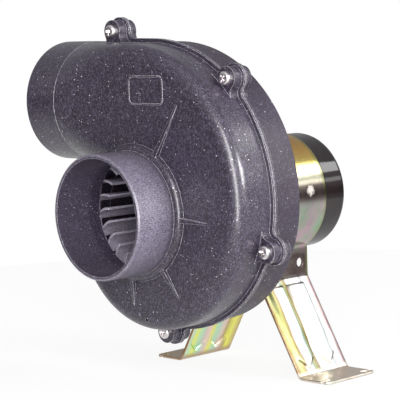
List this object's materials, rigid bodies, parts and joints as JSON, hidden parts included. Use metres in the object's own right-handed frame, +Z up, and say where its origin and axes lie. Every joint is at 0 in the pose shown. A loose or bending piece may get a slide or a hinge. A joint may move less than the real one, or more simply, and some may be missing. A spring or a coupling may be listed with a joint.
{
  "type": "blower fan",
  "caption": "Centrifugal blower with a moulded scroll housing, round inlet and outlet hose collars, a direct-current motor and a strap bracket with splayed feet.",
  "frame": {"origin": "centre of the four foot holes, on the plane that the feet stand on", "axes": "+Z up, fan axis along Y with the inlet looking to -Y, outlet looking to -X"},
  "size_m": [0.1853, 0.1899, 0.2311],
  "materials": {
    "housing_plastic": "black glass-filled moulding, satin with fine light specks",
    "impeller_plastic": "black moulding, satin",
    "zinc_screws": "bright zinc plate",
    "gasket_rubber": "closed-cell rubber",
    "grommet_rubber": "smooth moulded rubber",
    "cast_plate": "die-cast, machined seat",
    "motor_enamel": "gloss black enamel",
    "ferrite": "ground ferrite",
    "bronze": "sintered bronze",
    "felt": "wool felt",
    "phenolic_board": "brown laminate",
    "holder_brass": "bright brass",
    "carbon": "dense carbon",
    "spring_steel": "tempered steel",
    "shaft_steel": "ground steel",
    "lamination_steel": "stacked laminations",
    "copper": "copper",
    "yellow_zinc_steel": "yellow chromate over zinc, iridescent",
    "clamp_zinc": "zinc plate"
  },
  "bodies": {
    "stand": {"mount_bracket": "yellow_zinc_steel", "clamp_bolt": "clamp_zinc", "clamp_nut": "clamp_zinc", "clamp_washers": "clamp_zinc"},
    "blower": {"front_housing": "housing_plastic", "rear_housing": "housing_plastic", "housing_screws": "zinc_screws", "motor_mount_screws": "zinc_screws", "through_bolts": "zinc_screws", "motor_gasket": "gasket_rubber", "lead_grommet": "grommet_rubber", "motor_front_plate": "cast_plate", "motor_can": "motor_enamel", "field_magnets": "ferrite", "front_bearing": "bronze", "rear_bearing": "bronze", "oil_felts": "felt", "brush_plate": "phenolic_board", "brush_holders": "holder_brass", "carbon_brushes": "carbon", "brush_springs": "spring_steel"},
    "rotor": {"impeller": "impeller_plastic", "impeller_hub": "holder_brass", "hub_set_screw": "spring_steel", "motor_shaft": "shaft_steel", "thrust_washers": "shaft_steel", "armature_core": "lamination_steel", "armature_windings": "copper", "commutator": "copper"}
  },
  "joints": [
    {"name": "blower_swivel", "type": "hinge", "parent": "stand", "child": "blower", "pos_m": [0, 0, 0.1124], "axis": [0, -1, 0], "range_deg": [-165, 100]},
    {"name": "rotor_spin", "type": "hinge", "parent": "blower", "child": "rotor", "pos_m": [0, -0.012, 0.1124], "axis": [0, -1, 0], "continuous": true}
  ]
}
